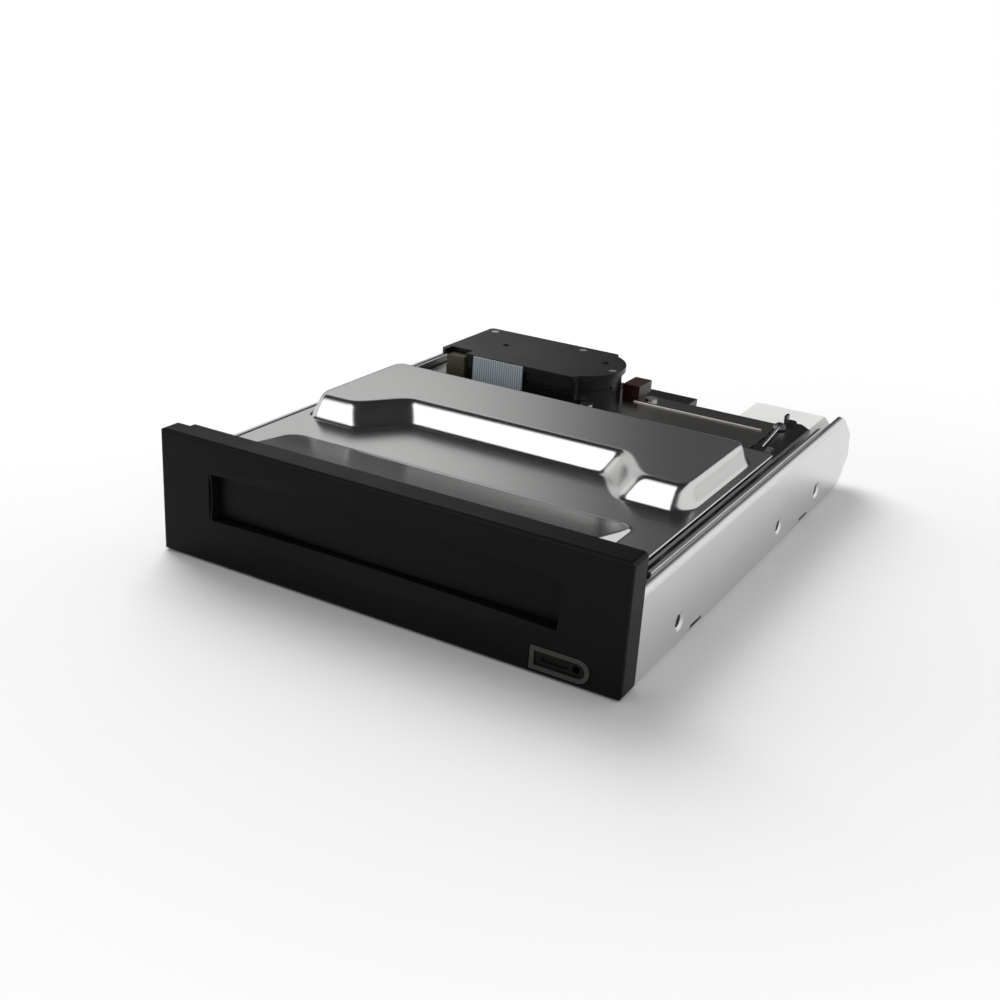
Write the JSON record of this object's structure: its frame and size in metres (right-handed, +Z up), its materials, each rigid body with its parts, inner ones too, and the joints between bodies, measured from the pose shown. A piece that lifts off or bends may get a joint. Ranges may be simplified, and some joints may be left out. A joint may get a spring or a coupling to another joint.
{
  "type": "removable disk drive",
  "caption": "Internal 3.5 inch removable-cartridge disk drive: black front panel with a door slot and an eject button, polished top cover, side rails, rear gearbox and connectors.",
  "frame": {"origin": "middle of the underside, on the bottom of the object's box", "axes": "+X to the right seen from the front, +Y from the front panel to the rear connectors, +Z up"},
  "size_m": [0.1016, 0.1284, 0.0258],
  "materials": {
    "panel_black": "satin moulded",
    "smoke": "clear smoky",
    "tray_steel": "zinc plated",
    "cover_steel": "polished sheet",
    "deck_steel": "satin",
    "bracket_steel": "dark satin",
    "bright_steel": "polished",
    "board_green": "solder mask",
    "black_plastic": "moulded",
    "carriage_plastic": "moulded",
    "gear_plastic": "moulded",
    "white_plastic": "moulded",
    "red_plastic": "moulded",
    "olive_plastic": "moulded",
    "ribbon_film": "film",
    "rubber": "moulded",
    "brass": "turned",
    "gold_contact": "plated",
    "coil_copper": "wound wire",
    "tantalum": "moulded",
    "arm_aluminium": "machined"
  },
  "bodies": {
    "drive": {"bezel": "panel_black", "door_pins": "bright_steel", "door_spring": "bright_steel", "button_switch": "black_plastic", "front_board": "board_green", "status_led": "white_plastic", "outer_tray": "tray_steel", "mechanism_frame": "tray_steel", "isolators": "rubber", "isolator_screws": "bright_steel", "main_board": "board_green", "board_screws": "bright_steel", "board_chips": "black_plastic", "board_capacitors": "tantalum", "data_connector": "black_plastic", "data_pins": "gold_contact", "power_connector": "white_plastic", "power_pins": "bright_steel", "jumper_block": "black_plastic", "left_guide": "tray_steel", "right_guide": "tray_steel", "top_cover": "cover_steel", "cover_screws": "bright_steel", "rear_deck": "deck_steel", "deck_screws": "bright_steel", "latch_bracket": "bracket_steel", "latch_pin": "bright_steel", "wire_spring": "bright_steel", "gearbox_base": "black_plastic", "gearbox_cover": "black_plastic", "gearbox_screws": "bright_steel", "load_motor": "tray_steel", "gear_pins": "bright_steel", "limit_switch": "olive_plastic", "ribbon_tail": "ribbon_film", "motor_plug": "red_plastic", "pivot_post": "bright_steel", "pivot_bearing": "bright_steel", "lower_yoke": "tray_steel", "upper_yoke": "tray_steel", "magnet": "bright_steel", "load_ramp": "white_plastic", "contact_block": "white_plastic"},
    "door": {"door_flap": "panel_black"},
    "button": {"eject_button": "smoke"},
    "release": {"release_rod": "bright_steel"},
    "latch": {"latch_lever": "bright_steel"},
    "carriage_body": {"carriage": "carriage_plastic"},
    "output_wheel": {"output_gear": "gear_plastic"},
    "idler_wheel": {"idler_gear": "gear_plastic"},
    "motor_gear": {"motor_pinion": "brass"},
    "head_arm": {"actuator_arm": "arm_aluminium", "voice_coil": "coil_copper", "head_suspensions": "bright_steel"}
  },
  "joints": [
    {"name": "door_hinge", "type": "hinge", "parent": "drive", "child": "door", "pos_m": [0, -0.06135, 0.0203], "axis": [1, 0, 0], "range_deg": [0, 84], "stiffness_Nm_per_rad": 0.0004},
    {"name": "button_press", "type": "slide", "parent": "drive", "child": "button", "axis": [0, 1, 0], "range_m": [0, 0.0012], "stiffness_N_per_m": 400},
    {"name": "release_push", "type": "slide", "parent": "drive", "child": "release", "axis": [0, 1, 0], "range_m": [0, 0.003], "stiffness_N_per_m": 200},
    {"name": "latch_swing", "type": "hinge", "parent": "drive", "child": "latch", "pos_m": [0.044, 0.01795, 0.01815], "axis": [0, 0, 1], "range_deg": [-18, 0], "stiffness_Nm_per_rad": 0.0005},
    {"name": "carriage_slide", "type": "slide", "parent": "drive", "child": "carriage_body", "axis": [0, 1, 0], "range_m": [0, 0.008]},
    {"name": "output_turn", "type": "hinge", "parent": "drive", "child": "output_wheel", "pos_m": [-0.0104, 0.03345, 0.019], "axis": [0, 0, 1], "range_deg": [-154, 0]},
    {"name": "idler_turn", "type": "hinge", "parent": "drive", "child": "idler_wheel", "pos_m": [-0.02263, 0.03605, 0.021], "axis": [0, 0, 1], "range_deg": [0, 485]},
    {"name": "motor_turn", "type": "hinge", "parent": "drive", "child": "motor_gear", "pos_m": [-0.03051, 0.02989, 0.0225], "axis": [0, 0, 1], "range_deg": [-1130, 0]},
    {"name": "head_swing", "type": "hinge", "parent": "drive", "child": "head_arm", "pos_m": [0.036, 0.03075, 0.0144], "axis": [0, 0, 1], "range_deg": [0, 34]}
  ],
  "couplings": [
    {"joint": "output_turn", "follows": "carriage_slide", "rad_per_m": -333.33},
    {"joint": "idler_turn", "follows": "carriage_slide", "rad_per_m": 1055.6},
    {"joint": "motor_turn", "follows": "carriage_slide", "rad_per_m": -2463}
  ]
}
